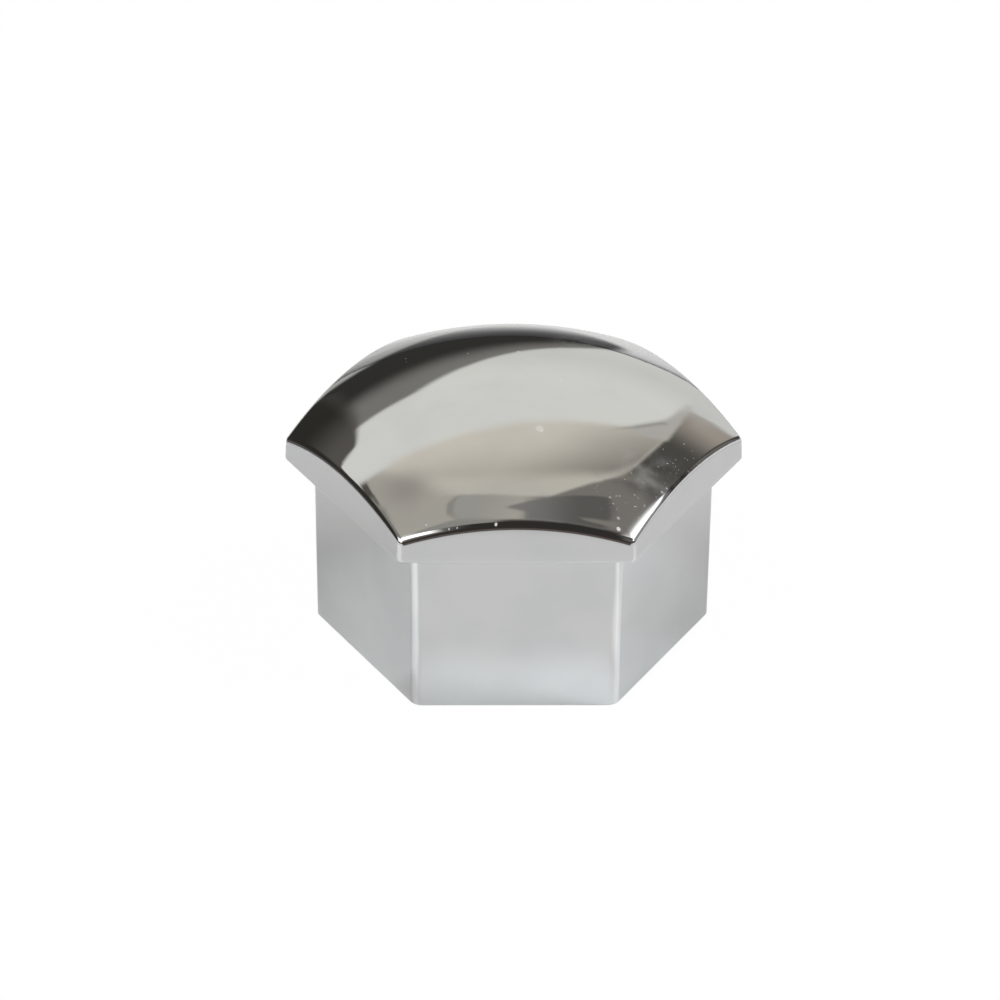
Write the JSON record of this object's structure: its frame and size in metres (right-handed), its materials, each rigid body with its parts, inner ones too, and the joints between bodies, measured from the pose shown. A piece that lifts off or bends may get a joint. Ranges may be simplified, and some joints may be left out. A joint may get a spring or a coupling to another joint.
{
  "type": "wheel nut cover cap",
  "caption": "Chrome-plated hexagonal cap with a wider domed head, pushed over a wheel nut to hide and protect it.",
  "frame": {"origin": "middle of the mouth, on the plane that the cap stands on", "axes": "+Z along the socket's axis towards the crown of the dome, +X through a corner of the hexagon, -Y out of a flat"},
  "size_m": [0.029, 0.0254, 0.0175],
  "materials": {
    "chrome_plating": "bright decorative plating on moulded plastic, mirror smooth with a few specks"
  },
  "bodies": {
    "root": {"nut_cover_cap": "chrome_plating"}
  },
  "joints": []
}
